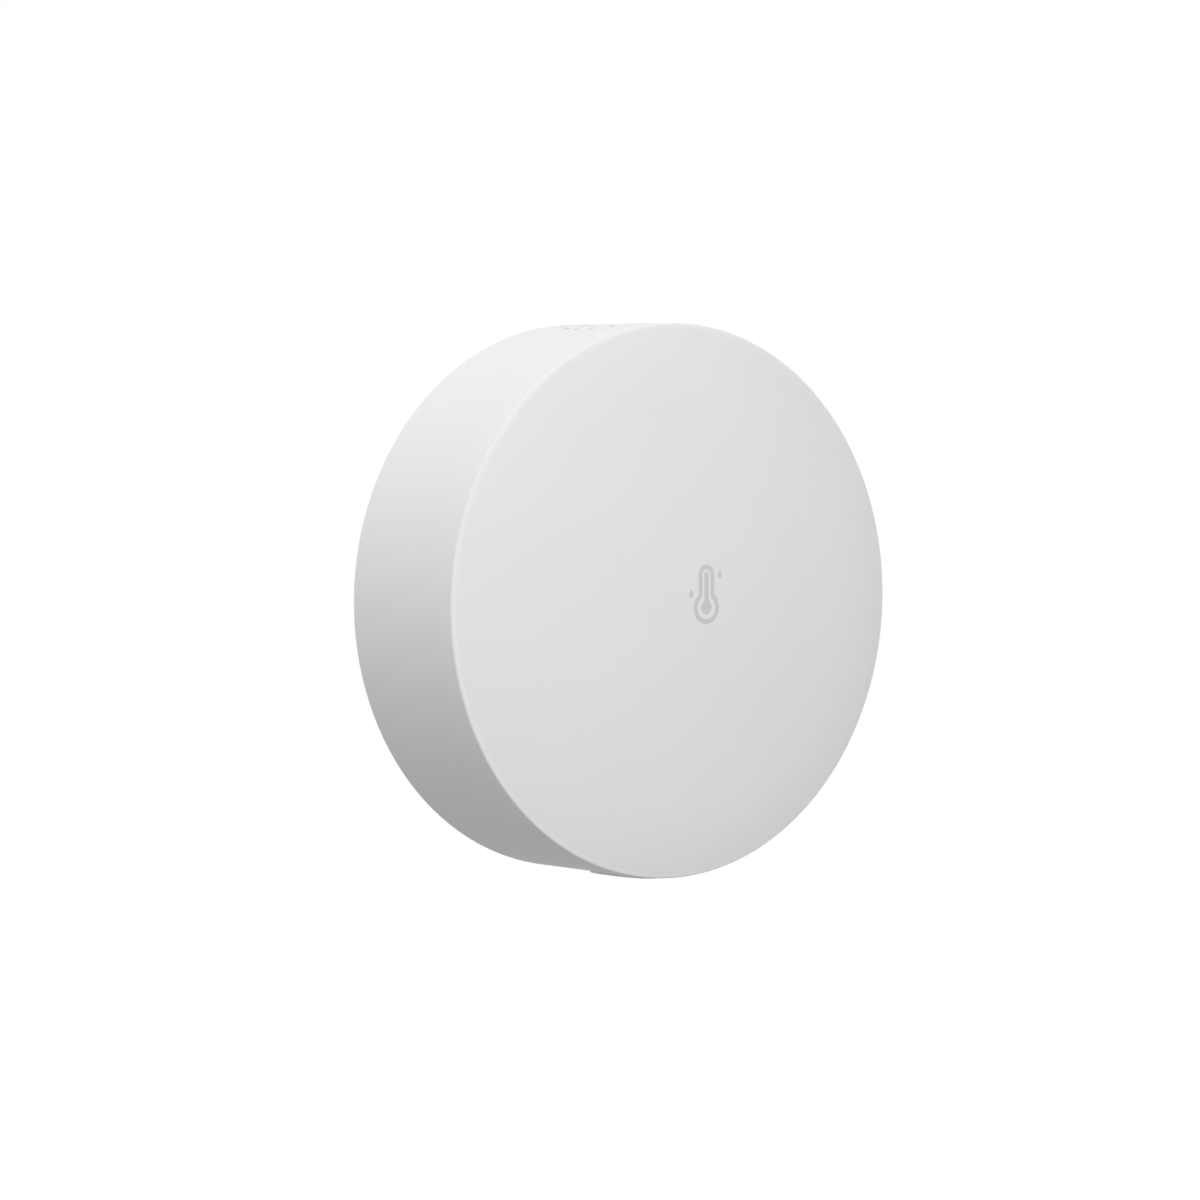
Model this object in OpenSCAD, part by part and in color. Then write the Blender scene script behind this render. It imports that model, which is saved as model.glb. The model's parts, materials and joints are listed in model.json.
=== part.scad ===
// Round wall sensor for temperature and humidity, in millimetres.
// The front faces -Y, up is +Z, and the origin is the centre of the rear cover's back face.
// Each piece is drawn lying on its back, with z as the depth from the back face,
// and stand() turns it upright. Angles run from the right-hand side towards the top.

/* [Housing] */
// Outer diameter at the back edge of the rim
body_d = 43; // [38:0.5:50]
// Height of the rim from its back edge to its front edge
rim_h = 12.7; // [11.5:0.1:16]
// Draft angle of the rim
draft = 0.45; // [0:0.05:1]
// Rise of the dome above the front edge
dome_h = 3.5; // [3:0.1:4.5]
// How much longer the radius of the crown is than that of a plain cap
crown_extra = 8; // [4:1:40]
// Radius of the shoulder between the crown and the front edge
shoulder_r = 30; // [20:1:36]
// Rounding of the front edge
edge_r = 0.25; // [0.2:0.05:0.8]
// Wall of the moulded shell
wall = 1.6; // [1.2:0.1:2]
// Chamfer on the outer edges at the back
back_chamfer = 0.2; // [0.1:0.05:0.4]
// Thickness of the ribs that join the screw bosses to the wall
rib_w = 0.9; // [0.6:0.1:1.2]

/* [Vents] */
// Diameter of a vent hole
vent_d = 0.6; // [0.4:0.1:0.8]
// Rings of vent holes round the middle one
vent_rings = 3; // [1:1:3]
// Distance between two rings
vent_pitch = 1.6; // [1.2:0.1:1.6]
// Distance of the middle hole from the back edge of the rim
vent_at = 5.9; // [5.6:0.1:6.6]

/* [Rear cover] */
// How far the cover stands proud of the rim
cover_proud = 0.4; // [0.2:0.1:1]
// Thickness of the cover plate
cover_t = 1.8; // [1.4:0.1:2.4]
// Gap all round between the cover plate and the rim
cover_gap = 0.2; // [0.1:0.05:0.4]
// Wall of the skirt that carries the lugs
skirt_t = 1.2; // [0.8:0.1:1.6]
// Length of the coin slot
slot_l = 12; // [8:0.5:16]
// Width of the coin slot
slot_w = 2; // [1.6:0.1:2.6]
// Depth of the coin slot
slot_depth = 0.9; // [0.5:0.1:1]
// Diameter of the pads that keep the cell in place
pad_d = 3; // [2:0.5:4]
// Distance of a pad's centre from the edge of the cell
pad_inset = 5; // [3:0.5:7]

/* [Bayonet] */
// Angle that one lug spans
lug_span = 16; // [10:1:20]
// Angle that one ledge reaches past its lug on each side
ledge_margin = 3.5; // [2.5:0.5:5]
// Thickness of a lug
lug_t = 1.2; // [0.8:0.1:1.6]
// Thickness of a ledge
ledge_t = 1.2; // [0.8:0.1:1.6]
// How far a ledge stands in from the wall
ledge_reach = 1.7; // [1.4:0.1:2.2]
// Play between lugs, ledges and cover plate
bayonet_play = 0.15; // [0.1:0.05:0.3]
// Gap between a lug and the wall, and between a ledge and the skirt
bayonet_gap = 0.4; // [0.3:0.05:0.6]
// Angle between a locked lug and its stop
stop_gap_angle = 1; // [0.6:0.1:2]
// Angle that the housing turns from closed to open
open_angle = 24; // [22:1:26]
// Diameter of the marks on the rim's back edge, a dot for closed and a ring for open
mark_d = 1; // [0.8:0.05:1.1]
// Length of the pointer on the cover that shows which mark is reached
pointer_l = 2.2; // [1.6:0.1:3]
// Depth of the marks and of the pointer
mark_depth = 0.3; // [0.2:0.05:0.4]

/* [Coin cell] */
// Room round the cell for the cradle and the screws
cell_room = 7.55; // [7:0.05:9]
// Room in front of the cell, up to the front edge, for the contact and the board
front_room = 3.3; // [3.1:0.05:4]
// Gap between the cell and the cover plate
cell_gap = 0.3; // [0.2:0.05:0.6]
// Gap between the cell and the cradle
cell_play = 0.3; // [0.2:0.05:0.5]
// Sheet thickness of the can and of the cap
cell_sheet = 0.3; // [0.2:0.05:0.4]
// Chamfer on the edges of the can
can_chamfer = 0.5; // [0.3:0.1:0.8]
// Width of the sealing gasket between can and cap
gasket_w = 0.8; // [0.5:0.1:1.2]
// Depth of the cap's skirt
cap_skirt = 2; // [1.5:0.1:3]
// How far the cap stands proud of the can
cap_proud = 0.3; // [0.2:0.05:0.5]

/* [Cradle and contacts] */
// Wall of the cradle
cradle_t = 1.2; // [0.9:0.1:1.6]
// Width of the seat that the cell rests on
seat_w = 1; // [0.6:0.1:1.4]
// Width of the finger notch for lifting the cell
notch_w = 9; // [6:0.5:12]
// Depth of the finger notch
notch_h = 4; // [2:0.5:6]
// Space between the cell and the board for the negative contact
contact_h = 0.8; // [0.6:0.1:1.2]
// Sheet thickness of the contacts
contact_t = 0.2; // [0.15:0.05:0.3]
// Width of the positive contact
positive_w = 4; // [3:0.5:6]
// How far the positive contact bows in to the cell
positive_bow = 0.4; // [0.3:0.05:0.6]
// How far its solder foot reaches past the cradle
positive_foot = 1.6; // [1:0.1:2]
// Direction of the positive contact
positive_angle = 195; // [185:1:215]
// Diameter of the negative contact's solder disc
disc_d = 6; // [4:0.5:8]
// Radius at which the negative contact's arms start to touch the cell
touch_at = 7; // [6:0.1:8]
// Length of the arms' flat tips
tip_l = 1.4; // [1:0.1:2]
// Width of the negative contact's arms
arm_w = 1.8; // [1.2:0.1:2.4]

/* [Board] */
// Thickness of the board
board_t = 1; // [0.8:0.1:1.2]
// Gap between the board and the shell
board_gap = 1.5; // [1.3:0.1:2]
// Edge length of the climate sensor
climate_w = 2.5; // [2:0.1:3]
// Height of the climate sensor
climate_h = 0.9; // [0.7:0.1:1.2]
// Diameter of the climate sensor's air port
port_d = 1; // [0.6:0.1:1.4]
// Distance of the climate sensor from the edge of the board
climate_inset = 0.9; // [0.6:0.1:1.2]
// Width of the isolation slots round the climate sensor
isolation_w = 0.8; // [0.6:0.1:1]
// Distance of the isolation slots from the climate sensor
isolation_gap = 0.6; // [0.4:0.1:0.8]

/* [Board parts] */
// Distance between neighbouring parts on the board
part_gap = 1.4; // [1:0.1:1.6]
// Edge length of the radio chip
radio_w = 6; // [4:0.5:7]
// Height of the radio chip
radio_h = 0.85; // [0.7:0.05:1]
// Length of both crystals
crystal_l = 3.2; // [2:0.1:3.6]
// Width of the radio crystal
radio_crystal_w = 2.5; // [1.6:0.1:2.8]
// Width of the sleep crystal
sleep_crystal_w = 1.5; // [1.2:0.1:1.8]
// Height of both crystals
crystal_h = 0.8; // [0.6:0.1:1]
// Length of a chip capacitor or chip resistor
chip_l = 1; // [0.6:0.1:1.2]
// Width of a chip capacitor or chip resistor
chip_w = 0.5; // [0.3:0.05:0.7]
// Width of their metal ends
chip_end = 0.25; // [0.15:0.05:0.3]
// Height of a chip capacitor
capacitor_h = 0.5; // [0.3:0.05:0.7]
// Height of a chip resistor
resistor_h = 0.35; // [0.25:0.05:0.5]
// Length of the bulk capacitor
bulk_l = 3.5; // [3:0.1:4]
// Width of the bulk capacitor
bulk_w = 2.8; // [2:0.1:3]
// Height of the bulk capacitor
bulk_h = 1.9; // [1.2:0.1:2]
// Length of the antenna's arms
antenna_l = 4; // [3:0.1:4.4]
// Width of the antenna's track
track_w = 0.6; // [0.4:0.05:0.8]
// Distance between two arms of the antenna
antenna_pitch = 1.3; // [1.1:0.05:1.4]
// Distance of the antenna from the edge of the board
antenna_inset = 2.2; // [1.8:0.1:2.6]
// Thickness of the antenna's copper
track_t = 0.1; // [0.05:0.05:0.15]
// Length of the status light
light_l = 1.6; // [1:0.1:2]
// Width of the status light
light_w = 0.8; // [0.5:0.1:1]
// Height of the status light
light_h = 0.6; // [0.4:0.1:0.8]

/* [Button and switch] */
// Diameter of the button
button_d = 6.6; // [5:0.1:7]
// Distance of the button's centre from the back edge of the rim
button_at = 7.5; // [6.6:0.1:7.6]
// How far the button stands proud of the rim
button_proud = 0.17; // [0.05:0.01:0.4]
// Travel of the button and of the plunger
button_travel = 0.25; // [0.15:0.05:0.3]
// Gap between the button and its window
button_gap = 0.15; // [0.1:0.05:0.25]
// How far the flange reaches past the button's outline
flange_w = 0.6; // [0.4:0.05:0.7]
// Thickness of the flange
flange_t = 0.8; // [0.6:0.05:0.9]
// Diameter of the nub that presses the plunger
nub_d = 2.2; // [1.6:0.1:2.4]
// Width of the switch
switch_w = 4.6; // [4:0.1:6]
// Length of the switch from front to back
switch_l = 3.2; // [2.8:0.1:3.4]
// Height of the switch above the board
switch_h = 2.8; // [2.4:0.1:3]
// Distance of the switch from the edge of the board
switch_inset = 1.3; // [1.2:0.1:1.6]
// Sheet thickness of the switch's cover
switch_sheet = 0.2; // [0.15:0.05:0.3]
// Width of the plunger
plunger_w = 2; // [1.6:0.1:2.4]
// Height of the plunger
plunger_h = 1; // [0.8:0.1:1.2]
// How far the plunger stands out of the switch
plunger_proud = 0.7; // [0.5:0.05:0.9]
// How far the plunger reaches into the switch
plunger_depth = 1.2; // [0.8:0.1:1.4]

/* [Screws] */
// Diameter of a screw's shank
screw_d = 1.6; // [1.2:0.1:2]
// Length of a screw's shank
screw_l = 4.2; // [3.8:0.1:4.6]
// Diameter of a screw's head
screw_head_d = 3.2; // [2.6:0.1:3.4]
// Height of a screw's head
screw_head_h = 1.1; // [0.8:0.1:1.4]
// Length of the cross recess
recess_l = 1.8; // [1.4:0.1:2.2]
// Width of the cross recess
recess_w = 0.5; // [0.3:0.05:0.6]
// Depth of the cross recess
recess_h = 0.6; // [0.4:0.05:0.8]
// Thickness of the cradle's ears under the heads
ear_t = 1.2; // [1:0.1:1.6]
// Margin of an ear round the head
ear_margin = 0.3; // [0.2:0.05:0.5]
// Wall of a screw boss
boss_wall = 1.25; // [1:0.05:1.5]

/* [Hidden] */
$fn = 96;
white = "#f2f2f0";
grey = "#c9cacc";
steel = "#b9bcc0";
dark = "#2a2b2d";
gold = "#c9a24a";
green = "#1f6b46";
cream = "#e6dfcf";

// Clearance between fixed pieces that would touch on a curved face
fit = 0.02;
// Clearance round a sliding piece, and between the button and the plunger
slide_fit = 0.05;
// Clearance of a part that is laid in place, such as a screw in its hole
loose_fit = 0.2;
// Room that a cut leaves round a part on the board
cut_room = 0.5;
// Direction of the seam of turned solids
seam_angle = 30;
// Overlap that joins two solids of one piece, and that carries a cut past a face
over = 0.5;
// Step that keeps two joined faces of one piece out of one plane
step = 0.05;
// Directions of the lugs, the screws and the negative contact's arms
thirds = [for (i = [0 : 2]) 120 * i];
// Direction between two of them, for the pads and the finger notch
between = 60;

// Depths of the housing
back_z = cover_proud;
front_z = back_z + rim_h;
apex_z = front_z + dome_h;

// Radii of the housing
rim_r = body_d / 2;
edge_front_r = rim_r - rim_h * tan(draft);
cavity_r = edge_front_r - wall;
root_r = cavity_r + wall / 2;
function rim_radius(z) = rim_r - (z - back_z) * tan(draft);

// Dome: the crown's arc passes into the shoulder's arc at join_angle from the axis
cap_r = (pow(edge_front_r, 2) + pow(dome_h, 2)) / (2 * dome_h);
crown_r = cap_r + crown_extra;
crown_c = [0, apex_z - crown_r];
arc_gap = crown_r - shoulder_r;
crown_drop = crown_r - dome_h;
edge_reach = norm([edge_front_r, crown_drop]);
join_reach = (pow(edge_reach, 2) + pow(arc_gap, 2) - pow(shoulder_r, 2)) / (2 * arc_gap);
join_angle = atan2(edge_front_r, crown_drop) - acos(join_reach / edge_reach);
shoulder_c = crown_c + arc_gap * [sin(join_angle), cos(join_angle)];

// Front edge: an arc that touches the sloping rim and the shoulder
edge_steps = 6;
edge_run = 3;
edge_base = rim_radius(0) - edge_r / cos(draft) - shoulder_c[0];
edge_a = 1 + pow(tan(draft), 2);
edge_b = -tan(draft) * edge_base - shoulder_c[1];
edge_c = pow(edge_base, 2) + pow(shoulder_c[1], 2) - pow(shoulder_r - edge_r, 2);
edge_z = (sqrt(edge_b * edge_b - edge_a * edge_c) - edge_b) / edge_a;
edge_centre = [rim_radius(edge_z) - edge_r / cos(draft), edge_z];
edge_end = atan2(edge_centre[1] - shoulder_c[1], edge_centre[0] - shoulder_c[0]);
function edge_angle(i) = draft + (edge_end - draft) * i / edge_steps;
function edge_point(i) = edge_centre + edge_r * [cos(edge_angle(i)), sin(edge_angle(i))];

// Bayonet
cover_r = cavity_r - cover_gap;
ledge_r = cavity_r - ledge_reach;
skirt_r = ledge_r - bayonet_gap;
lug_r = cavity_r - bayonet_gap;
ledge_z = cover_t + bayonet_play;
lug_z = ledge_z + ledge_t + bayonet_play;
skirt_z = lug_z + lug_t;

// Coin cell: the default housing takes one of 24.5 by 7.7
cell_r = cavity_r - cell_room;
cell_z = cover_t + cell_gap;
cell_front_z = front_z - front_room;
can_front_z = cell_front_z - cap_proud;
skirt_end_z = cell_front_z - cap_skirt;
cradle_in_r = cell_r + cell_play;
cradle_r = cradle_in_r + cradle_t;

// Board
board_z = cell_front_z + contact_h;
board_front_z = board_z + board_t;
board_r = cavity_r - board_gap;
climate_y = board_r - climate_inset - climate_w / 2;

// Screws through the cradle's ears and the board into the shell's bosses
screw_r = cradle_r + loose_fit + screw_head_d / 2;
screw_hole_d = screw_d + 2 * loose_fit;
pilot_d = screw_d + 2 * slide_fit;
boss_d = pilot_d + 2 * boss_wall;
ear_d = screw_head_d + 2 * ear_margin;
ear_z = board_z - ear_t;

// Button, switch and plunger at the bottom of the rim
button_z = back_z + button_at;
flange_r = cavity_r - 2 * slide_fit;
switch_y = switch_inset - board_r;
switch_z = board_z - switch_h;
plunger_z = board_z - switch_h / 2;
plunger_tip = switch_y - plunger_proud;

// Rows of parts round the radio chip, which sits a little off the centre of the board
radio_x = -1.5;
radio_y = 1.5;
chip_pitch = chip_l + chip_w + part_gap / 4;
crystal_x = radio_x + radio_w / 2 + part_gap + crystal_l / 2;
capacitor_reach = radio_w / 2 + part_gap + chip_w / 2;
resistor_left_x = radio_x - radio_w / 2 - part_gap - chip_l / 2;
resistor_right_x = crystal_x + crystal_l / 2 + part_gap + chip_l / 2;
bulk_y = radio_y - capacitor_reach - part_gap - bulk_w / 2;
antenna_x = antenna_inset - board_r;
antenna_arms = 8;

// Turns a piece from lying on its back to facing -Y
module stand() rotate([90, 0, 0]) children();

// Repeats a piece at each of the given angles
module around(angles) for (a = angles) rotate(a) children();

// A section turned all the way round, with its seam where no other feature meets it
module turned() rotate(seam_angle) rotate_extrude() children();

// A section between two radii and two depths
module band(r0, r1, z0, z1) translate([r0, z0]) square([r1 - r0, z1 - z0]);

// A full ring
module ring(r0, r1, z0, z1) turned() band(r0, r1, z0, z1);

// A part of a ring that starts at an angle and spans another
module sector(r0, r1, z0, z1, from, span) rotate(from) rotate_extrude(angle = span) band(r0, r1, z0, z1);

// A block centred on x and y that stands on depth z
module block(size, at) translate([at[0] - size[0] / 2, at[1] - size[1] / 2, at[2]]) cube(size);

// A sheet of the given outline, in radius and depth, that runs across the radius
module strip(w) translate([0, w / 2, 0]) rotate([90, 0, 0]) linear_extrude(w) children();

// Everything under the dome, in radius and depth, drawn in by inset
module dome_area(inset) {
    far = 2 * crown_r;
    intersection() {
        translate(crown_c) circle(r = crown_r - inset);
        polygon([crown_c, crown_c + far * [0, 1], crown_c + far * [sin(join_angle), cos(join_angle)]]);
    }
    translate(shoulder_c) circle(r = shoulder_r - inset);
}

// Section of the shell's outside with its drafted rim and rounded front edge
module outer_section() {
    chamfer_z = back_z + back_chamfer;
    edge = [for (i = [0 : edge_steps - 1]) edge_point(i)];
    past_edge = edge_point(edge_steps) + edge_run * (edge_point(edge_steps) - edge_point(edge_steps - 1));
    top_z = apex_z + over;
    intersection() {
        dome_area(0);
        polygon(concat(
            [[0, back_z], [rim_r - back_chamfer, back_z], [rim_radius(chamfer_z), chamfer_z]],
            edge,
            [past_edge, [past_edge[0], top_z], [0, top_z]]));
    }
}

// Section of the space inside the dome, drawn in by inset from the outside
module inner_section(inset, r) {
    intersection() {
        dome_area(inset);
        translate([0, back_z - over]) square([r, apex_z]);
    }
}

// A round bar that runs down through the bottom of the rim
module button_bar(margin) {
    translate([0, 0, button_z]) rotate([90, 0, 0]) cylinder(d = button_d + 2 * margin, h = body_d);
}

module shell_bosses() {
    intersection() {
        around(thirds) translate([screw_r, 0, board_front_z]) {
            cylinder(d = boss_d, h = apex_z);
            translate([0, -rib_w / 2, over]) cube([rim_r, rib_w, apex_z]);
        }
        turned() inner_section(wall / 2, root_r);
    }
}

module shell_ledges() {
    half = lug_span / 2;
    stop_inset = 0.5;
    stop_step = 0.2;
    around(thirds) {
        sector(ledge_r, root_r, ledge_z, ledge_z + ledge_t,
            -half - ledge_margin, lug_span + 2 * ledge_margin);
        sector(ledge_r + stop_step, root_r, ledge_z + ledge_t / 2, skirt_z,
            half + stop_gap_angle, ledge_margin - stop_gap_angle - stop_inset);
    }
}

// A round patch of holes at the top of the rim: a middle one and rings of 6, 12 and 18
module vent_holes() {
    for (i = [0 : vent_rings], j = [0 : max(6 * i, 1) - 1]) {
        turn = 60 * j / max(i, 1);
        across = i * vent_pitch * cos(turn);
        along = i * vent_pitch * sin(turn);
        rotate(90 + across / rim_r * 180 / PI) translate([cavity_r - over, 0, back_z + vent_at + along])
            rotate([0, 90, 0]) cylinder(d = vent_d, h = wall + 3 * over, $fn = 24);
    }
}

// The marks, which the pointer on the cover meets one after the other
module rim_marks() {
    mark_r = (cavity_r + rim_r) / 2;
    rotate(90) translate([mark_r, 0, back_z - over]) cylinder(d = mark_d, h = over + mark_depth, $fn = 32);
    rotate(90 - open_angle) translate([mark_r, 0, back_z - over]) difference() {
        cylinder(d = mark_d, h = over + mark_depth, $fn = 32);
        cylinder(d = mark_d / 2, h = 2 * over + mark_depth, $fn = 32);
    }
}

module front_shell() color(white) stand() difference() {
    union() {
        turned() difference() {
            outer_section();
            inner_section(wall, cavity_r);
        }
        shell_bosses();
        shell_ledges();
    }
    around(thirds) translate([screw_r, 0, board_front_z - over])
        cylinder(d = pilot_d, h = screw_l - ear_t - board_t + loose_fit + over);
    button_bar(button_gap);
    vent_holes();
    rim_marks();
}

module rear_cover() color(white) stand() difference() {
    union() {
        turned() polygon([[0, 0], [cover_r - back_chamfer, 0], [cover_r, back_chamfer],
            [cover_r, cover_t], [0, cover_t]]);
        ring(skirt_r - skirt_t, skirt_r, cover_t - over, skirt_z + step);
        around(thirds) sector(skirt_r - skirt_t / 2, lug_r, lug_z, skirt_z, -lug_span / 2, lug_span);
        rotate(between) around(thirds) translate([cell_r - pad_inset, 0, cover_t - over])
            cylinder(d = pad_d, h = over + cell_gap - slide_fit);
    }
    translate([0, 0, -over]) linear_extrude(over + slot_depth) {
        square([slot_l - slot_w, slot_w], center = true);
        for (s = [-1, 1]) translate([s * (slot_l - slot_w) / 2, 0]) circle(d = slot_w);
    }
    translate([0, cover_r - mark_d, -over]) linear_extrude(over + mark_depth)
        polygon([[0, 0], [-pointer_l / 2, -pointer_l], [pointer_l / 2, -pointer_l]]);
}

module battery_cradle() color(grey) stand() difference() {
    ear_root = cradle_r - cradle_t / 2;
    union() {
        ring(cradle_in_r, cradle_r, cell_z + cell_gap, board_z);
        ring(cell_r - seat_w, cradle_r, cell_front_z, board_z);
        around(thirds) translate([0, 0, ear_z]) {
            translate([screw_r, 0, 0]) cylinder(d = ear_d, h = ear_t - step);
            translate([ear_root, -ear_d / 2, 0]) cube([screw_r - ear_root, ear_d, ear_t - step]);
        }
    }
    around(thirds) translate([screw_r, 0, ear_z - over]) cylinder(d = screw_hole_d, h = ear_t + 2 * over);
    rotate(positive_angle)
        block([cell_r, positive_w + 2 * cut_room, board_z], [cell_r, 0, cell_z + cap_skirt - cut_room]);
    block([switch_w + 2 * cut_room, cell_r, board_z],
        [0, seat_w - cell_r - cell_r / 2, switch_z - 2 * cut_room]);
    rotate(between) block([cell_r, notch_w, notch_h], [cell_r, 0, cell_z]);
}

module main_board() color(green) stand() difference() {
    cut_z = board_z - over;
    cut_h = board_t + 2 * over;
    slot_x = climate_w / 2 + isolation_gap + isolation_w / 2;
    slot_y = climate_y - climate_w / 2 - isolation_gap - isolation_w / 2;
    translate([0, 0, board_z]) cylinder(r = board_r, h = board_t);
    around(thirds) translate([screw_r, 0, cut_z]) cylinder(d = screw_hole_d, h = cut_h);
    for (s = [-1, 1])
        block([isolation_w, board_r - slot_y, cut_h], [s * slot_x, (board_r + slot_y) / 2 + over, cut_z]);
    block([2 * slot_x - 3 * isolation_w, isolation_w, cut_h], [0, slot_y, cut_z]);
}

module radio_chip() color(dark) stand() difference() {
    dimple_d = 0.6;
    dimple_inset = 0.9;
    dimple_depth = 0.1;
    corner = radio_w / 2 - dimple_inset;
    block([radio_w, radio_w, radio_h], [radio_x, radio_y, board_front_z]);
    translate([radio_x - corner, radio_y + corner, board_front_z + radio_h - dimple_depth])
        cylinder(d = dimple_d, h = over, $fn = 24);
}

// A ceramic tray with a metal lid that stands in from its edges
module crystal_can(w, y) {
    lid_step = 0.2;
    at = [crystal_x, y, board_front_z];
    block([crystal_l, w, crystal_h - lid_step], at);
    block([crystal_l - 2 * lid_step, w - 2 * lid_step, crystal_h], at);
}

module radio_crystal() color(steel) stand()
    crystal_can(radio_crystal_w, radio_y + (radio_w - radio_crystal_w) / 2);

module sleep_crystal() color(steel) stand()
    crystal_can(sleep_crystal_w, radio_y - (radio_w - sleep_crystal_w) / 2);

// A folded track, with a straight one that feeds its last arm
module antenna_trace() color(gold) stand() {
    middle = (antenna_arms - 1) / 2;
    for (i = [0 : antenna_arms - 1])
        block([antenna_l, track_w, track_t],
            [antenna_x + antenna_l / 2, antenna_pitch * (i - middle), board_front_z]);
    for (i = [0 : antenna_arms - 2])
        block([track_w, antenna_pitch + track_w, track_t],
            [antenna_x + (i % 2 == 0 ? track_w / 2 : antenna_l - track_w / 2),
            antenna_pitch * (i - middle + 0.5), board_front_z]);
    block([antenna_l, track_w, track_t],
        [antenna_x + antenna_l + antenna_l / 2 - track_w, antenna_pitch * middle, board_front_z]);
}

module climate_sensor() color(dark) stand() difference() {
    port_depth = climate_h / 3;
    block([climate_w, climate_w, climate_h], [0, climate_y, board_z - climate_h]);
    translate([0, climate_y, board_z - climate_h - over])
        cylinder(d = port_d, h = over + port_depth, $fn = 32);
}

// A lens on a carrier, beside the switch
module status_light() color(cream) stand() {
    x = switch_w / 2 + switch_sheet + part_gap + light_l / 2;
    y = switch_y + light_w;
    carrier_h = light_h / 2;
    block([light_l, light_w, carrier_h], [x, y, board_z - carrier_h]);
    block([light_l - 2 * chip_end, light_w, light_h], [x, y, board_z - light_h]);
}

// A chip part with two metal ends that stand a little proud
module chip_part(x, y, h) {
    proud = 0.03;
    block([chip_l, chip_w, h], [x, y, board_front_z]);
    for (s = [-1, 1])
        block([chip_end, chip_w + 2 * proud, h + proud],
            [x + s * (chip_l - chip_end + proud) / 2, y, board_front_z]);
}

module chip_capacitors() color(cream) stand()
    for (s = [-1, 1], i = [0 : 3])
        chip_part(radio_x + chip_pitch * (i - 1.5), radio_y + s * capacitor_reach, capacitor_h);

module chip_resistors() color(dark) stand()
    for (x = [resistor_left_x, resistor_right_x], i = [0 : 2])
        chip_part(x, radio_y + part_gap * (i - 1), resistor_h);

// A moulded body over two bent leads
module bulk_capacitor() color(gold) stand() {
    lead_proud = 0.3;
    lead_w = bulk_w - 2 * lead_proud;
    block([bulk_l, bulk_w, bulk_h], [radio_x, bulk_y, board_front_z]);
    block([bulk_l + 2 * lead_proud, lead_w, bulk_h / 2], [radio_x, bulk_y, board_front_z]);
}

module switch_body() color(dark) stand() difference() {
    pocket = plunger_depth + button_travel + slide_fit + over;
    block([switch_w, switch_l, switch_h], [0, switch_y + switch_l / 2, switch_z]);
    block([plunger_w + 2 * slide_fit, pocket, plunger_h + 2 * slide_fit],
        [0, switch_y - over + pocket / 2, plunger_z - plunger_h / 2 - slide_fit]);
}

// A sheet over the switch with a clip on each side
module switch_cover() color(steel) stand() {
    y = switch_y + switch_l / 2;
    z = switch_z - switch_sheet;
    cover_l = switch_l - 2 * switch_sheet;
    block([switch_w + 2 * switch_sheet, cover_l, switch_sheet], [0, y, z]);
    for (s = [-1, 1])
        block([switch_sheet, cover_l / 2, switch_h / 2 + switch_sheet],
            [s * (switch_w + switch_sheet) / 2, y, z]);
}

module switch_plunger() color(white) stand() {
    l = plunger_proud + plunger_depth;
    block([plunger_w, l, plunger_h], [0, plunger_tip + l / 2, plunger_z - plunger_h / 2]);
}

// A round key that follows the rim, with a flange inside and a nub at the plunger's height
module button() color(white) stand() {
    nub_y = plunger_tip - slide_fit;
    intersection() {
        button_bar(0);
        ring(flange_r - flange_t / 2, rim_radius(button_z) + button_proud, back_z, front_z);
    }
    intersection() {
        button_bar(flange_w);
        ring(flange_r - flange_t, flange_r, back_z, front_z);
    }
    translate([0, nub_y, plunger_z]) rotate([90, 0, 0])
        cylinder(d = nub_d, h = flange_r - flange_t / 2 + nub_y, $fn = 48);
}

module cell_can() color(steel) stand() turned() difference() {
    polygon([[0, cell_z], [cell_r - can_chamfer, cell_z], [cell_r, cell_z + can_chamfer],
        [cell_r, can_front_z - can_chamfer], [cell_r - can_chamfer, can_front_z], [0, can_front_z]]);
    band(0, cell_r - cell_sheet, cell_z + cell_sheet, can_front_z - cell_sheet);
    band(0, cell_r - cell_sheet - can_chamfer, cell_z + cell_sheet, cell_front_z);
}

module cell_gasket() color(dark) stand() {
    r = cell_r - cell_sheet - fit;
    ring(r - gasket_w, r, skirt_end_z, can_front_z - cell_sheet - fit);
}

module cell_cap() color(steel) stand() {
    r = cell_r - cell_sheet - gasket_w - 2 * fit;
    ring(0, r, cell_front_z - cell_sheet, cell_front_z);
    ring(r - cell_sheet, r, skirt_end_z, cell_front_z);
}

module cell_core() color(dark) stand()
    ring(0, cell_r - cell_sheet - fit, cell_z + cell_sheet + fit, skirt_end_z - fit);

// A strip that bows in to the side of the cell, with a solder foot on the board
module positive_contact() color(gold) stand() rotate(positive_angle) strip(positive_w) {
    touch = cell_r + fit;
    stem = touch + positive_bow;
    foot_end = cradle_r + positive_foot;
    foot_z = board_z - contact_t;
    middle_z = (cell_z + cell_front_z) / 2;
    tip_z = cell_z + cap_skirt;
    polygon([[stem, board_z], [stem, foot_z], [touch, middle_z], [stem, tip_z],
        [stem + contact_t, tip_z], [touch + contact_t, middle_z], [stem + contact_t, foot_z],
        [foot_end, foot_z], [foot_end, board_z]]);
}

// A disc on the board with three arms that spring down to the cell
module negative_contact() color(gold) stand() {
    arm_overlap = 1;
    arm_root = disc_d / 2 - arm_overlap;
    arm_z = board_z - contact_t / 2 - contact_t / 4;
    touch_z = cell_front_z + fit;
    tip = touch_at + tip_l;
    ring(0, disc_d / 2, board_z - contact_t, board_z);
    around(thirds) strip(arm_w)
        polygon([[arm_root, arm_z], [touch_at, touch_z], [tip, touch_z], [tip, touch_z + contact_t],
            [touch_at, touch_z + contact_t], [arm_root, arm_z + contact_t / 2]]);
}

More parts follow.
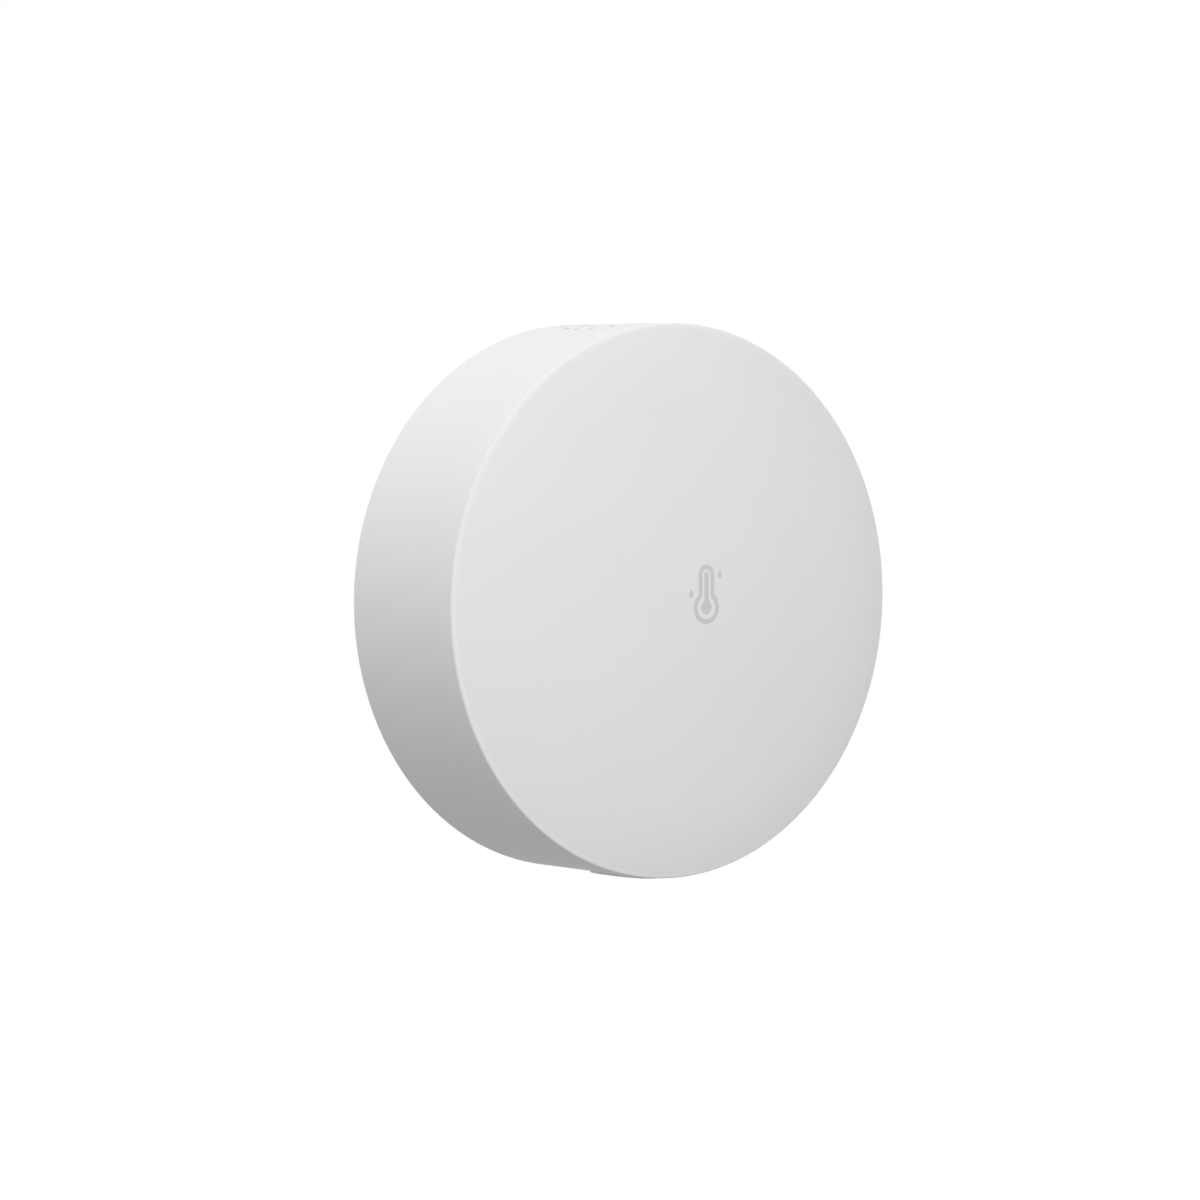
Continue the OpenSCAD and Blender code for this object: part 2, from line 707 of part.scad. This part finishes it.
module board_screws() color(steel) stand() around(thirds) translate([screw_r, 0, ear_z]) difference() {
    union() {
        translate([0, 0, -screw_head_h]) cylinder(d = screw_head_d, h = screw_head_h);
        translate([0, 0, -over]) cylinder(d = screw_d, h = screw_l + over);
    }
    for (a = [0, 90]) rotate(a) block([recess_l, recess_w, recess_h + over], [0, 0, -screw_head_h - over]);
}

front_shell();
rear_cover();
battery_cradle();
main_board();
radio_chip();
radio_crystal();
sleep_crystal();
antenna_trace();
climate_sensor();
status_light();
chip_capacitors();
chip_resistors();
bulk_capacitor();
switch_body();
switch_cover();
switch_plunger();
button();
cell_can();
cell_gasket();
cell_cap();
cell_core();
positive_contact();
negative_contact();
board_screws();
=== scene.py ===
"""Looks of a round temperature and humidity sensor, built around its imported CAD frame.

Everything is in metres in the CAD frame: the front faces -Y, up is +Z, and the wall is at y = 0.
"""

import json
import math

import bmesh
import bpy
from mathutils import Matrix, Vector


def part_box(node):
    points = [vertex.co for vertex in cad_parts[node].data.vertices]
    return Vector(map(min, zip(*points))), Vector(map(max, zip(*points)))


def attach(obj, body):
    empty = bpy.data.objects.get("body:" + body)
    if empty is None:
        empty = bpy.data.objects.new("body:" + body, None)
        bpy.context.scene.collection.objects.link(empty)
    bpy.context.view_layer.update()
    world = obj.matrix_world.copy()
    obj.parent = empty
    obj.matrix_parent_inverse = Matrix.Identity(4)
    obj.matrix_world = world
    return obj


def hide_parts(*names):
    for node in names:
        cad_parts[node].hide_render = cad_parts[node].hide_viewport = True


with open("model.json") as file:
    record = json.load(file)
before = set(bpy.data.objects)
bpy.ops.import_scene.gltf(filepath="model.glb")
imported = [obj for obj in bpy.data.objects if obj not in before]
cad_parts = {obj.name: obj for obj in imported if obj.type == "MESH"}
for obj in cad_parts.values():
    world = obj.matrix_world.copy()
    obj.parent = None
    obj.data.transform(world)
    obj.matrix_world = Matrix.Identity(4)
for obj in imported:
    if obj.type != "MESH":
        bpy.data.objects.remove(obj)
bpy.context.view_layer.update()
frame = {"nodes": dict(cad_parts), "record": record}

MM = 0.001
MICRON = 0.000001

# Camera, fitted to the two rim ellipses of the photograph
CAMERA_AZIMUTH = -38.03
CAMERA_ELEVATION = 2.22
CAMERA_ROLL = 0.48
CAMERA_PLACE = Vector((-195.47, -253.48, 12.06)) * MM
CAMERA_LENS = 120.7
SENSOR_WIDTH = 36.0
CLIP_START = 10.0 * MM

# Dome of the front shell: its apex and the radius of its middle arc
APEX_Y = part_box("front_shell")[0].y
CROWN_RADIUS = 75.17 * MM

# Painted highlight on the rounded front edge of the shell: a lighter colour that stands for a bright line
# of light.
# Its light tone starts and is full at these distances from the axis and at these depths.
EDGE_REACH = (20.95 * MM, 21.2 * MM)
EDGE_DEPTH = (-13.0 * MM, -13.15 * MM)
EDGE_HIGHLIGHT_TONE = 0.835

# Ink of the sign: how far it stands out of the dome and reaches into it
INK_LIFT = 0.012 * MM
INK_ROOT = 0.02 * MM

# Printed sign, in millimetres from the dome's axis
BULB_PLACE = (0.13, -0.36)
BULB_RADIUS = 1.25
TUBE_HALF = 0.765
TUBE_TOP = 2.94
TUBE_FLARE = 0.12
STROKE = 0.36
DOT_RADIUS = 0.5
STEM_HALF = 0.21
STEM_TOP = 2.38
STEM_FLARE = 0.35
DROPS = [(-1.37, 0.74), (1.46, 2.24)]
DROP_HEIGHT = 0.69
DROP_HALF = 0.2
DROP_TAPER = 0.8

# Angle in degrees at which the round end of a drop passes into its point
DROP_SHOULDER = 20.0

# Button with a rounded edge, in millimetres, which stands for the frame's sharp one
BUTTON_BOX = [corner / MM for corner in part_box("button")]
KEY_DEPTH = -(BUTTON_BOX[0].y + BUTTON_BOX[1].y) / 2
KEY_OUT = -BUTTON_BOX[0].z
KEY_RADIUS = 3.3
KEY_ROUNDING = 0.16
FLANGE_RADIUS = BUTTON_BOX[1].x
FLANGE_OUT = 19.7
FLANGE_IN = 18.9
NUB_DEPTH = 9.2
NUB_RADIUS = 1.1
NUB_OUT = 19.3
NUB_END = -BUTTON_BOX[1].z

# Edges that turn by more than this stay sharp in the shading
SHARP_ANGLE = math.radians(30.0)

# Vertices closer than this count as one, in the CAD nodes and in new pieces
WELD_REACH = 0.0001 * MM
MERGE_REACH = 0.00001 * MM

# Moulded plastic: scales of its drift and its grain, and how far its roughness varies
DRIFT_SCALE = 90.0
GRAIN_SCALE = 9000.0
GRAIN_SPREAD = 0.05

# Plated metal: scale of its stains, depth of its marks, and how far they smooth or roughen it
STAIN_SCALE = 400.0
MARK_DEPTH = 4 * MICRON
MARK_SMOOTHER = 0.08
MARK_ROUGHER = 0.12

# Circuit board: solder mask in two tones, with copper tracks under it
TRACK_SCALE = 260.0
TRACK_WIDTH = 0.06
TRACK_RELIEF = 10 * MICRON
TRACK_COLOUR = (0.03, 0.2, 0.1, 1.0)
MASK_DARK = (0.012, 0.11, 0.05, 1.0)
MASK_LIGHT = (0.016, 0.13, 0.06, 1.0)
MASK_GRAIN = 3000.0
MASK_ROUGHNESS = (0.25, 0.4)

# Light: a soft surround and two soft boxes, each with name, azimuth, elevation, size and level
WHITE = (1.0, 1.0, 1.0, 1.0)
WORLD_LIGHT = 0.507
LAMPS = [("key", -20, 12, 0.5, 0.53), ("back", -138, 58, 0.8, 0.53)]
LAMP_DISTANCE = 1.0

# Pale floor, which fades into the surround between two distances from its middle
FLOOR_Z = -0.1
FLOOR_HALF = 3.0
FLOOR_TONE = 0.335
FLOOR_DRIFT = 0.005
FLOOR_SCALE = 20.0
FLOOR_GLOW = 0.71
FADE_START = 0.15
FADE_END = 0.4


# Helpers for nodes and objects


def empty_tree(owner):
    """The node tree of a material or a world, without its first nodes."""
    owner.use_nodes = True
    owner.node_tree.nodes.clear()
    return owner.node_tree


def new_material(name):
    """A material with its node tree, which holds a Principled shader and its output."""
    material = bpy.data.materials.new(name)
    tree = empty_tree(material)
    shader = tree.nodes.new("ShaderNodeBsdfPrincipled")
    output = tree.nodes.new("ShaderNodeOutputMaterial")
    tree.links.new(shader.outputs["BSDF"], output.inputs["Surface"])
    return material, tree, shader


def noise(tree, scale, detail=2.0, roughness=0.5):
    """Noise over the object's own coordinates, with features of about 1 / scale metres."""
    coords = tree.nodes.new("ShaderNodeTexCoord")
    texture = tree.nodes.new("ShaderNodeTexNoise")
    texture.inputs["Scale"].default_value = scale
    texture.inputs["Detail"].default_value = detail
    texture.inputs["Roughness"].default_value = roughness
    tree.links.new(coords.outputs["Object"], texture.inputs["Vector"])
    return texture.outputs["Fac"]


def ramp(tree, factor, low, high, start=0.3, end=0.7):
    """A colour that runs from low to high as the factor runs from start to end."""
    node = tree.nodes.new("ShaderNodeValToRGB")
    node.color_ramp.elements[0].position = start
    node.color_ramp.elements[1].position = end
    node.color_ramp.elements[0].color = (*low, 1.0)
    node.color_ramp.elements[1].color = (*high, 1.0)
    tree.links.new(factor, node.inputs["Fac"])
    return node.outputs["Color"]


def spread(tree, factor, low, high):
    """A number that runs from low to high as the factor runs from 0 to 1."""
    node = tree.nodes.new("ShaderNodeMapRange")
    node.inputs["To Min"].default_value = low
    node.inputs["To Max"].default_value = high
    tree.links.new(factor, node.inputs["Value"])
    return node.outputs["Result"]


def smooth_step(tree, value, start, full):
    """A number that runs smoothly from 0 to 1 as the value runs from start to full."""
    node = tree.nodes.new("ShaderNodeMapRange")
    node.interpolation_type = "SMOOTHSTEP"
    node.inputs["From Min"].default_value = start
    node.inputs["From Max"].default_value = full
    tree.links.new(value, node.inputs["Value"])
    return node.outputs["Result"]


def length(tree, vector):
    """The length of a vector."""
    node = tree.nodes.new("ShaderNodeVectorMath")
    node.operation = "LENGTH"
    tree.links.new(vector, node.inputs[0])
    return node.outputs["Value"]


def combine(tree, operation, first, second):
    """The result of a calculation with two numbers."""
    node = tree.nodes.new("ShaderNodeMath")
    node.operation = operation
    tree.links.new(first, node.inputs[0])
    tree.links.new(second, node.inputs[1])
    return node.outputs["Value"]


def bump(tree, shader, height, depth):
    """Relief of the given depth in metres."""
    node = tree.nodes.new("ShaderNodeBump")
    node.inputs["Strength"].default_value = 1.0
    node.inputs["Distance"].default_value = depth
    tree.links.new(height, node.inputs["Height"])
    tree.links.new(node.outputs["Normal"], shader.inputs["Normal"])


def mix_shaders(tree, factor, first, second):
    """The first shader where the factor is 0, and the second where it is 1."""
    node = tree.nodes.new("ShaderNodeMixShader")
    tree.links.new(factor, node.inputs["Fac"])
    tree.links.new(first, node.inputs[1])
    tree.links.new(second, node.inputs[2])
    return node.outputs["Shader"]


def emission(tree, strength):
    """A white glow."""
    node = tree.nodes.new("ShaderNodeEmission")
    node.inputs["Color"].default_value = WHITE
    node.inputs["Strength"].default_value = strength
    return node.outputs["Emission"]


def background(tree, strength):
    """A white surround."""
    node = tree.nodes.new("ShaderNodeBackground")
    node.inputs["Color"].default_value = WHITE
    node.inputs["Strength"].default_value = strength
    return node.outputs["Background"]


def add_object(name, data):
    """A new object in the scene."""
    added = bpy.data.objects.new(name, data)
    bpy.context.scene.collection.objects.link(added)
    return added


# Materials


def grey(level):
    return (level, level, level)


def paint_edge_highlight(tree, colour):
    """Lightens the rounded front edge of the shell a little: a painted highlight along the edge."""
    coords = tree.nodes.new("ShaderNodeTexCoord")
    split = tree.nodes.new("ShaderNodeSeparateXYZ")
    flat = tree.nodes.new("ShaderNodeVectorMath")
    flat.operation = "MULTIPLY"
    flat.inputs[1].default_value = (1.0, 0.0, 1.0)
    tree.links.new(coords.outputs["Object"], split.inputs["Vector"])
    tree.links.new(coords.outputs["Object"], flat.inputs[0])
    outer = smooth_step(tree, length(tree, flat.outputs["Vector"]), *EDGE_REACH)
    front = smooth_step(tree, split.outputs["Y"], *EDGE_DEPTH)
    mix = tree.nodes.new("ShaderNodeMixRGB")
    mix.inputs["Color2"].default_value = (*grey(EDGE_HIGHLIGHT_TONE), 1.0)
    tree.links.new(combine(tree, "MULTIPLY", outer, front), mix.inputs["Fac"])
    tree.links.new(colour, mix.inputs["Color1"])
    return mix.outputs["Color"]


def plastic(name, low, high, rough, grain_depth, gloss=0.5, painted_highlight=False):
    """Moulded plastic: a faint drift of tone, an uneven satin gloss and a fine spark-eroded grain."""
    material, tree, shader = new_material(name)
    grain = noise(tree, GRAIN_SCALE)
    colour = ramp(tree, noise(tree, DRIFT_SCALE, detail=3.0), low, high)
    # Painted highlight along the front edge of the shell, where asked for
    if painted_highlight:
        colour = paint_edge_highlight(tree, colour)
    tree.links.new(colour, shader.inputs["Base Color"])
    roughness = spread(tree, grain, rough - GRAIN_SPREAD, rough + GRAIN_SPREAD)
    tree.links.new(roughness, shader.inputs["Roughness"])
    shader.inputs["Specular IOR Level"].default_value = gloss
    bump(tree, shader, grain, grain_depth)
    return material


def metal(name, low, high, rough, mark_scale):
    """Plated sheet metal with faint stains and fine handling marks."""
    material, tree, shader = new_material(name)
    stains = noise(tree, STAIN_SCALE, detail=4.0)
    marks = noise(tree, mark_scale, detail=3.0, roughness=0.7)
    tree.links.new(ramp(tree, stains, low, high), shader.inputs["Base Color"])
    roughness = spread(tree, marks, rough - MARK_SMOOTHER, rough + MARK_ROUGHER)
    tree.links.new(roughness, shader.inputs["Roughness"])
    shader.inputs["Metallic"].default_value = 1.0
    bump(tree, shader, marks, MARK_DEPTH)
    return material


def laminate(name):
    """Green solder mask over copper: tracks show as lighter paths under the mask."""
    material, tree, shader = new_material(name)
    coords = tree.nodes.new("ShaderNodeTexCoord")
    turn = tree.nodes.new("ShaderNodeMapping")
    turn.inputs["Rotation"].default_value = (math.pi / 2, 0.0, 0.0)
    tracks = tree.nodes.new("ShaderNodeTexBrick")
    tracks.inputs["Scale"].default_value = TRACK_SCALE
    tracks.inputs["Mortar Size"].default_value = TRACK_WIDTH
    tracks.inputs["Color1"].default_value = MASK_DARK
    tracks.inputs["Color2"].default_value = MASK_LIGHT
    tracks.inputs["Mortar"].default_value = TRACK_COLOUR
    tree.links.new(coords.outputs["Object"], turn.inputs["Vector"])
    tree.links.new(turn.outputs["Vector"], tracks.inputs["Vector"])
    tree.links.new(tracks.outputs["Color"], shader.inputs["Base Color"])
    roughness = spread(tree, noise(tree, MASK_GRAIN), *MASK_ROUGHNESS)
    tree.links.new(roughness, shader.inputs["Roughness"])
    bump(tree, shader, tracks.outputs["Fac"], TRACK_RELIEF)
    return material


# Plastics have two tones, a roughness and the depth of their grain.
# Metals have two tones, a roughness and the scale of their marks.
MATERIALS = {
    # The shell's front edge carries a painted highlight
    "shell_white": plastic("shell_white", grey(0.794), grey(0.806), 0.55, 2 * MICRON,
                           gloss=0.4, painted_highlight=True),
    "cover_white": plastic("cover_white", grey(0.77), grey(0.8), 0.5, 3 * MICRON),
    "button_white": plastic("button_white", grey(0.78), grey(0.81), 0.4, 1.5 * MICRON),
    "cradle_grey": plastic("cradle_grey", (0.5, 0.51, 0.52), (0.58, 0.59, 0.6), 0.5, 3 * MICRON),
    "board_green": laminate("board_green"),
    "chip_black": plastic("chip_black", grey(0.018), grey(0.035), 0.45, 3 * MICRON),
    "capacitor_tan": plastic("capacitor_tan", (0.45, 0.33, 0.2), (0.6, 0.47, 0.32), 0.4, 3 * MICRON),
    "bulk_amber": plastic("bulk_amber", (0.5, 0.3, 0.05), (0.65, 0.42, 0.1), 0.35, 2 * MICRON),
    "light_cream": plastic("light_cream", (0.8, 0.74, 0.5), (0.88, 0.84, 0.66), 0.15, 1 * MICRON),
    "bright_steel": metal("bright_steel", grey(0.55), grey(0.68), 0.25, 6000.0),
    "cell_steel": metal("cell_steel", grey(0.5), grey(0.62), 0.3, 3000.0),
    "gasket_black": plastic("gasket_black", grey(0.02), grey(0.045), 0.7, 4 * MICRON),
    "core_grey": plastic("core_grey", grey(0.06), grey(0.14), 0.9, 10 * MICRON),
    "contact_gold": metal("contact_gold", (0.62, 0.45, 0.17), (0.78, 0.62, 0.3), 0.25, 6000.0),
    "print_grey": plastic("print_grey", grey(0.6), grey(0.64), 0.5, 1 * MICRON),
}


def dress_frame():
    """Gives each CAD node the material of its slot."""
    for part in frame["record"]["subparts"]:
        mesh = frame["nodes"][part["node"]].data
        mesh.materials.clear()
        mesh.materials.append(MATERIALS[part["material_slot"]])


def edge_places(ends):
    """The places of an edge's two ends, in any order, to compare the edges of two meshes."""
    return frozenset(tuple(round(c / WELD_REACH) for c in end.co) for end in ends)


def even_shading(name):
    """Shades a CAD node smoothly across the seams of its turned faces, and keeps its real edges sharp."""
    node = frame["nodes"][name]
    mesh = node.data
    welded = bmesh.new()
    welded.from_mesh(mesh)
    bmesh.ops.remove_doubles(welded, verts=welded.verts, dist=WELD_REACH)
    sharp = {edge_places(e.verts) for e in welded.edges if e.calc_face_angle(math.pi) > SHARP_ANGLE}
    welded.free()
    for edge in mesh.edges:
        edge.use_edge_sharp = edge_places(mesh.vertices[i] for i in edge.vertices) in sharp
    node.modifiers.new("weld", "WELD").merge_threshold = WELD_REACH
    shading = node.modifiers.new("shading", "WEIGHTED_NORMAL")
    shading.mode = "CORNER_ANGLE"
    shading.keep_sharp = True


# Helpers for new pieces


def arc(centre, radius, start, end, steps):
    """Points on an arc, with angles in degrees from the first axis towards the second."""
    angles = [math.radians(start + (end - start) * i / steps) for i in range(steps + 1)]
    return [(centre[0] + radius * math.cos(a), centre[1] + radius * math.sin(a)) for a in angles]


def join_rows(bm, low, high):
    """A closed band of faces between two rows of vertices."""
    count = len(low)
    for i in range(count):
        j = (i + 1) % count
        bm.faces.new((low[i], low[j], high[j], high[i]))


def new_piece(name, bm, body, slot):
    """Turns a mesh under construction into a piece that rides on a body."""
    bmesh.ops.remove_doubles(bm, verts=bm.verts, dist=MERGE_REACH)
    bmesh.ops.recalc_face_normals(bm, faces=bm.faces)
    mesh = bpy.data.meshes.new(name)
    bm.to_mesh(mesh)
    bm.free()
    piece = add_object(name, mesh)
    mesh.materials.append(MATERIALS[slot])
    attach(piece, body)
    return piece


# Printed sign on the dome


def dome_point(u, v, lift):
    """The point over (u, v) millimetres from the dome's axis, lifted off the crown."""
    x, z = u * MM, v * MM
    sink = CROWN_RADIUS - math.sqrt(CROWN_RADIUS ** 2 - x * x - z * z)
    return Vector((x, APEX_Y + sink - lift, z))


def thermometer_side(bulb_radius, half, top, flare, steps=24):
    """The right half of a thermometer's outline, from the bottom of the bulb to the top of the tube."""
    middle, low = BULB_PLACE
    shoulder = math.degrees(math.acos((half + flare) / (bulb_radius + flare)))
    neck = low + math.sqrt((bulb_radius + flare) ** 2 - (half + flare) ** 2)
    crown = top - half
    side = arc(BULB_PLACE, bulb_radius, -90.0, shoulder, steps)
    side += arc((middle + half + flare, neck), flare, shoulder - 180.0, -180.0, steps)[1:]
    side += [(middle + half, neck + (crown - neck) * i / steps) for i in range(1, steps)]
    side += arc((middle, crown), half, 0.0, 90.0, steps)
    return side


def drop_side(centre, steps=16):
    """The right half of a drop's outline, round below and pointed above."""
    u, v = centre
    low, tip = v - DROP_HEIGHT / 2 + DROP_HALF, v + DROP_HEIGHT / 2
    side = arc((u, low), DROP_HALF, -90.0, DROP_SHOULDER, steps)
    width, base = side[-1][0] - u, side[-1][1]
    rise = [i / steps for i in range(1, steps + 1)]
    side += [(u + width * (1 - s) ** DROP_TAPER, base + (tip - base) * s) for s in rise]
    return side


def mirror(side, middle):
    """The left half of an outline from its right half."""
    return [(2 * middle - u, v) for u, v in side]


def whole(side, middle):
    """A closed outline from its right half, which starts and ends on the middle line."""
    return side + mirror(side, middle)[-2:0:-1]


def print_strip(bm, left, right, ring=False):
    """A thin closed slab of ink between two rows of points on the dome, which can join up as a ring."""
    rows = []
    for a, b in zip(left, right):
        rows.append([
            bm.verts.new(dome_point(*a, INK_LIFT)),
            bm.verts.new(dome_point(*b, INK_LIFT)),
            bm.verts.new(dome_point(*b, -INK_ROOT)),
            bm.verts.new(dome_point(*a, -INK_ROOT)),
        ])
    for low, high in zip(rows, rows[1:] + rows[:1] if ring else rows[1:]):
        join_rows(bm, low, high)
    if not ring:
        bm.faces.new(rows[0])
        bm.faces.new(list(reversed(rows[-1])))


def make_sign():
    """The thermometer with its two drops, printed in the middle of the dome."""
    bm = bmesh.new()
    middle = BULB_PLACE[0]
    outer = thermometer_side(BULB_RADIUS, TUBE_HALF, TUBE_TOP, TUBE_FLARE)
    inner = thermometer_side(BULB_RADIUS - STROKE, TUBE_HALF - STROKE, TUBE_TOP - STROKE,
                             TUBE_FLARE + STROKE)
    print_strip(bm, whole(inner, middle), whole(outer, middle), ring=True)
    stem = thermometer_side(DOT_RADIUS, STEM_HALF, STEM_TOP, STEM_FLARE)
    print_strip(bm, mirror(stem, middle), stem)
    for centre in DROPS:
        side = drop_side(centre)
        print_strip(bm, mirror(side, centre[0]), side)
    new_piece("dome_sign", bm, "sensor_unit", "print_grey")


# Button


def key_point(reach, out, angle):
    """A point at a distance from the button's own axis, on a cylinder round the housing's axis."""
    x = reach * math.cos(angle)
    return Vector((x, -KEY_DEPTH - reach * math.sin(angle), -math.sqrt(out * out - x * x))) * MM


def make_button(sides=96, rings=6):
    """The button: a round key that follows the rim, with its flange and its nub inside."""
    flat = KEY_RADIUS - KEY_ROUNDING
    steps = [flat * i / rings for i in range(1, rings)]
    profile = [(reach, KEY_OUT) for reach in steps]
    profile += arc((flat, KEY_OUT - KEY_ROUNDING), KEY_ROUNDING, 90.0, 0.0, rings)
    profile += [(KEY_RADIUS, FLANGE_OUT), (FLANGE_RADIUS, FLANGE_OUT), (FLANGE_RADIUS, FLANGE_IN)]
    profile += [(reach, FLANGE_IN) for reach in reversed(steps)]
    bm = bmesh.new()
    turns = [2 * math.pi * i / sides for i in range(sides)]
    rows = [[bm.verts.new(key_point(reach, out, a)) for a in turns] for reach, out in profile]
    for low, high in zip(rows, rows[1:]):
        join_rows(bm, low, high)
    for row, out in ((rows[0], KEY_OUT), (rows[-1], FLANGE_IN)):
        centre = bm.verts.new(key_point(0.0, out, 0.0))
        for i in range(sides):
            bm.faces.new((centre, row[i], row[(i + 1) % sides]))
    place = Matrix.Translation(Vector((0.0, -NUB_DEPTH, -(NUB_OUT + NUB_END) / 2)) * MM)
    bmesh.ops.create_cone(bm, cap_ends=True, segments=sides // 2, radius1=NUB_RADIUS * MM,
                          radius2=NUB_RADIUS * MM, depth=(NUB_OUT - NUB_END) * MM, matrix=place)
    for face in bm.faces:
        face.smooth = True
    button = new_piece("button_key", bm, "push_button", "button_white")
    button.data.set_sharp_from_angle(angle=SHARP_ANGLE)
    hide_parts("button")


# Camera, light and floor


def direction(azimuth, elevation):
    """The way from the origin at two angles in degrees: azimuth 0 is the front and 90 the right."""
    az, el = math.radians(azimuth), math.radians(elevation)
    return Vector((math.sin(az) * math.cos(el), -math.cos(az) * math.cos(el), math.sin(el)))


def place_camera():
    """The photograph's viewpoint, with its slight roll."""
    back = direction(CAMERA_AZIMUTH, CAMERA_ELEVATION)
    level = direction(CAMERA_AZIMUTH + 90.0, 0.0)
    roll = math.radians(CAMERA_ROLL)
    right = level * math.cos(roll) + back.cross(level) * math.sin(roll)
    up = back.cross(right)
    data = bpy.data.cameras.new("camera")
    data.lens = CAMERA_LENS
    data.sensor_width = SENSOR_WIDTH
    data.clip_start = CLIP_START
    camera = add_object("camera", data)
    turn = Matrix((right, up, back)).transposed().to_4x4()
    camera.matrix_world = Matrix.Translation(CAMERA_PLACE) @ turn
    bpy.context.scene.camera = camera


def seen_rays(tree):
    """1 for rays that show a surface to the camera, directly, in a reflection or through glass."""
    path = tree.nodes.new("ShaderNodeLightPath")
    value = path.outputs["Is Camera Ray"]
    for name in ("Is Glossy Ray", "Is Transmission Ray"):
        value = combine(tree, "MAXIMUM", value, path.outputs[name])
    return value


def make_world():
    """A surround that shows white and lights the object softly from all sides."""
    world = bpy.data.worlds.new("studio")
    bpy.context.scene.world = world
    tree = empty_tree(world)
    output = tree.nodes.new("ShaderNodeOutputWorld")
    lit = background(tree, WORLD_LIGHT)
    shown = background(tree, 1.0)
    tree.links.new(mix_shaders(tree, seen_rays(tree), lit, shown), output.inputs["Surface"])


def floor_material():
    """A pale surface that shows white with a soft shadow and fades into the surround.

    It has only an upper side, so that views from below look through it.
    """
    material = bpy.data.materials.new("floor_white")
    tree = empty_tree(material)
    output = tree.nodes.new("ShaderNodeOutputMaterial")
    diffuse = tree.nodes.new("ShaderNodeBsdfDiffuse")
    drift = noise(tree, FLOOR_SCALE)
    colour = ramp(tree, drift, grey(FLOOR_TONE - FLOOR_DRIFT), grey(FLOOR_TONE + FLOOR_DRIFT))
    tree.links.new(colour, diffuse.inputs["Color"])
    near = tree.nodes.new("ShaderNodeAddShader")
    tree.links.new(diffuse.outputs["BSDF"], near.inputs[0])
    tree.links.new(emission(tree, FLOOR_GLOW), near.inputs[1])
    coords = tree.nodes.new("ShaderNodeTexCoord")
    fade = smooth_step(tree, length(tree, coords.outputs["Object"]), FADE_START, FADE_END)
    shown = mix_shaders(tree, fade, near.outputs["Shader"], emission(tree, 1.0))
    upper = mix_shaders(tree, seen_rays(tree), diffuse.outputs["BSDF"], shown)
    geometry = tree.nodes.new("ShaderNodeNewGeometry")
    clear = tree.nodes.new("ShaderNodeBsdfTransparent")
    sided = mix_shaders(tree, geometry.outputs["Backfacing"], upper, clear.outputs["BSDF"])
    tree.links.new(sided, output.inputs["Surface"])
    return material


def make_floor():
    """The floor below the sensor."""
    bm = bmesh.new()
    corners = [(-1, -1), (1, -1), (1, 1), (-1, 1)]
    bm.faces.new([bm.verts.new((FLOOR_HALF * x, FLOOR_HALF * y, 0.0)) for x, y in corners])
    mesh = bpy.data.meshes.new("floor")
    bm.to_mesh(mesh)
    bm.free()
    mesh.materials.append(floor_material())
    floor = add_object("floor", mesh)
    floor.location.z = FLOOR_Z


def make_lamp(name, azimuth, elevation, size, level):
    """A square soft box. Its level is the light on a surface that faces it, and 1 shows white as white.

    Gloss shows the white surround in its place, so that no side of the rim clips to white.
    """
    towards = direction(azimuth, elevation)
    data = bpy.data.lights.new(name, "AREA")
    data.size = size
    data.energy = level * (math.pi * LAMP_DISTANCE) ** 2
    lamp = add_object(name, data)
    lamp.location = towards * LAMP_DISTANCE
    lamp.rotation_euler = (-towards).to_track_quat("-Z", "Y").to_euler()
    lamp.visible_camera = False
    lamp.visible_glossy = False


dress_frame()
for name in ("front_shell", "rear_cover"):
    even_shading(name)
make_sign()
make_button()
place_camera()
make_world()
make_floor()
for lamp in LAMPS:
    make_lamp(*lamp)
bpy.context.scene.view_settings.view_transform = "Standard"
